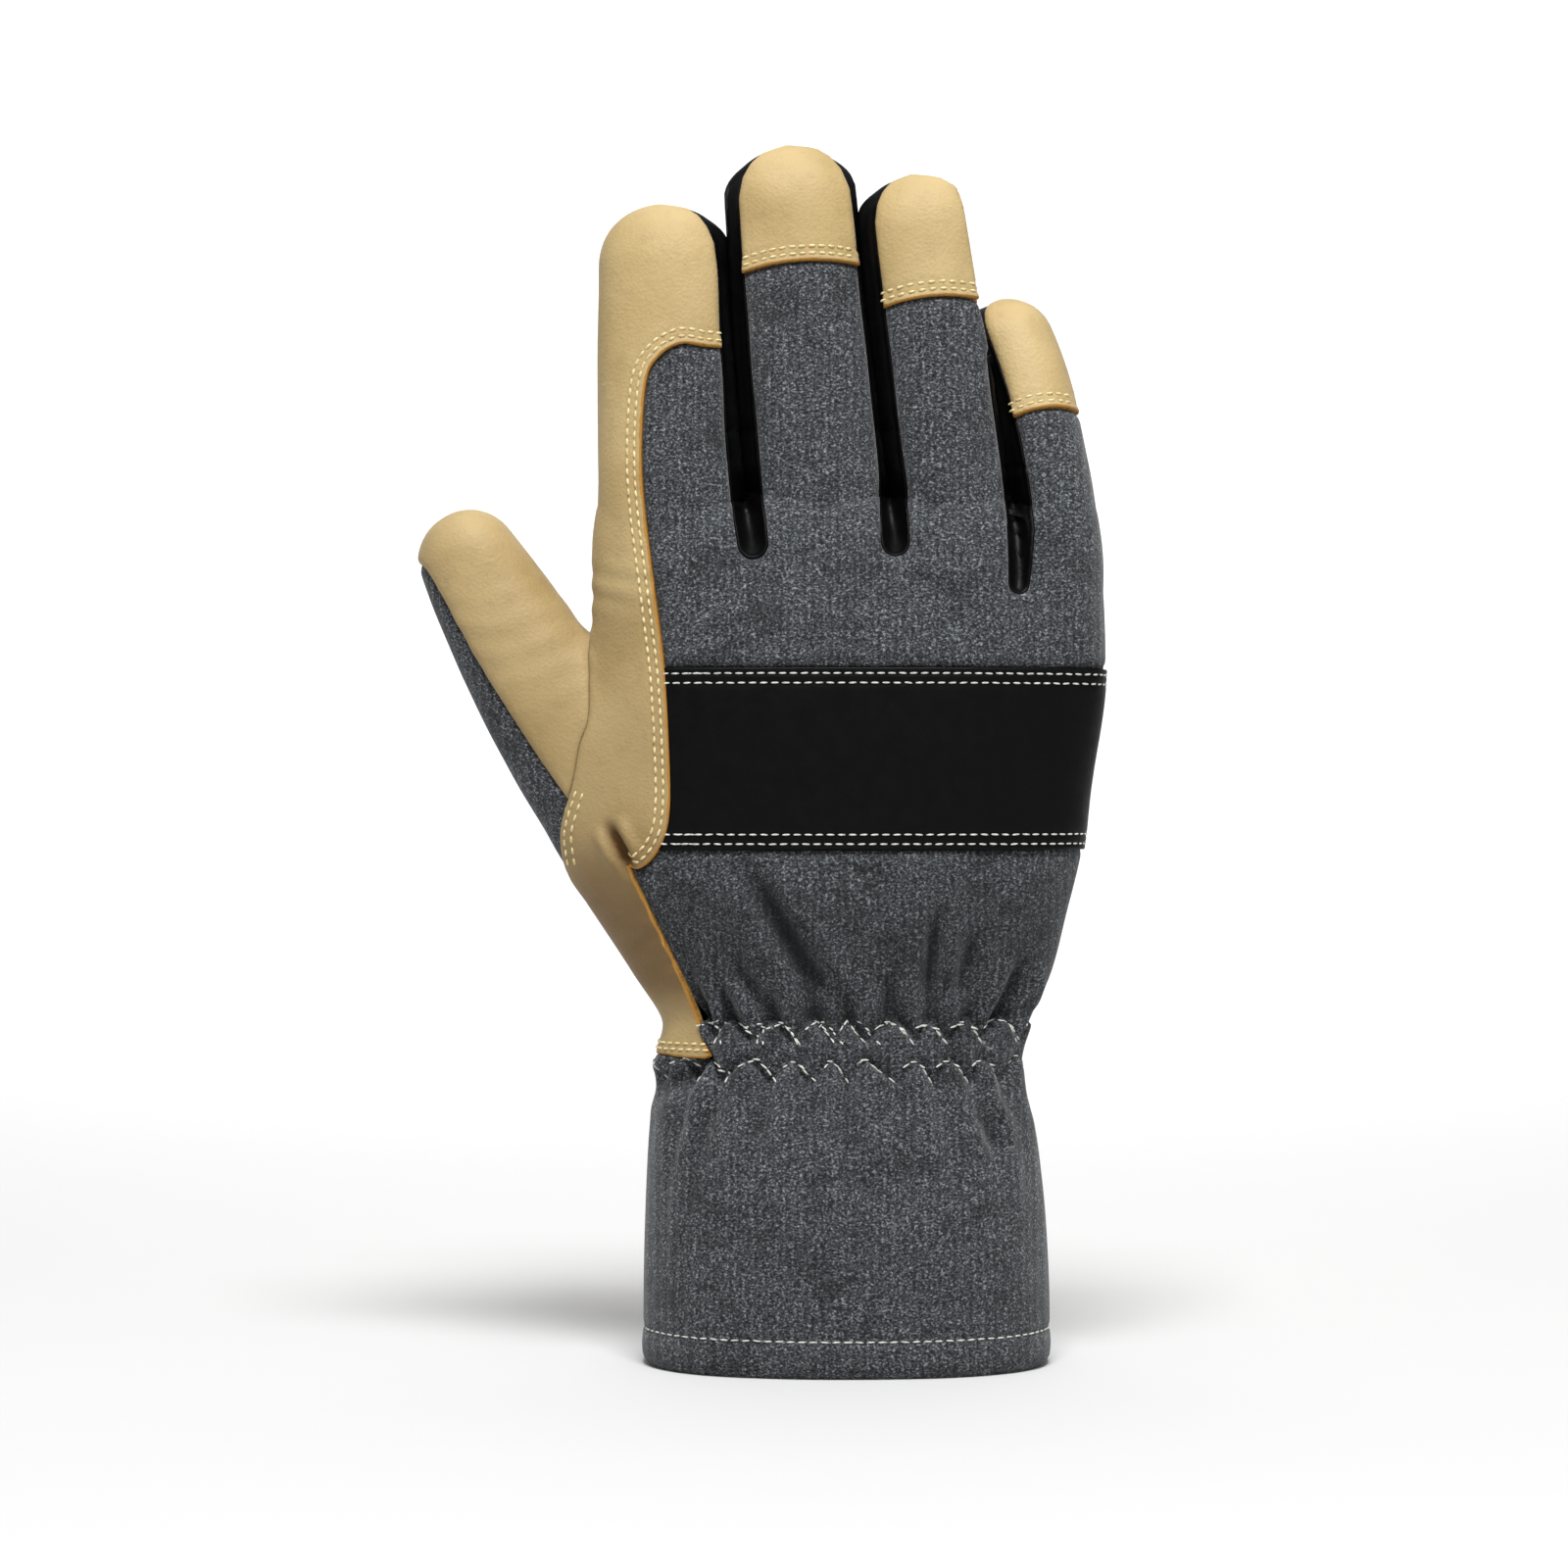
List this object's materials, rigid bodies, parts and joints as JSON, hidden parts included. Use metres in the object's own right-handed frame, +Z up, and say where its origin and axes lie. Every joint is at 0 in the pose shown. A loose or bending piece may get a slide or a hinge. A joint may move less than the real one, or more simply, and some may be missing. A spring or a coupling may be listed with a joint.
{
  "type": "arc flash glove",
  "caption": "Right-hand work glove of heathered cloth with tan leather palm, thumb and finger caps, black leather fourchettes and knuckle strap, and gathered wrist, standing on its cuff.",
  "frame": {"origin": "middle of the outline's box, on the ground under the cuff's hem", "axes": "+Z up from the cuff to the fingertips, the back of the hand faces -Y, the palm +Y, and the thumb points to -X"},
  "size_m": [0.1614, 0.064, 0.2861],
  "materials": {
    "heather_cloth": "matt knitted cloth in heathered dark grey",
    "tan_leather": "soft tan goatskin with a fine grain",
    "black_leather": "smooth black leather with a low sheen"
  },
  "bodies": {
    "root": {"cuff": "heather_cloth", "back_lower": "heather_cloth", "knuckle_strap": "black_leather", "back_upper": "heather_cloth", "index_wrap": "tan_leather", "middle_cap": "tan_leather", "ring_cap": "tan_leather", "little_cap": "tan_leather", "fourchette_index_middle": "black_leather", "fourchette_middle_ring": "black_leather", "fourchette_ring_little": "black_leather", "index_front": "tan_leather", "middle_front": "tan_leather", "ring_front": "tan_leather", "little_front": "tan_leather", "thumb_leather": "tan_leather", "thumb_back": "heather_cloth", "palm": "tan_leather"}
  },
  "joints": []
}
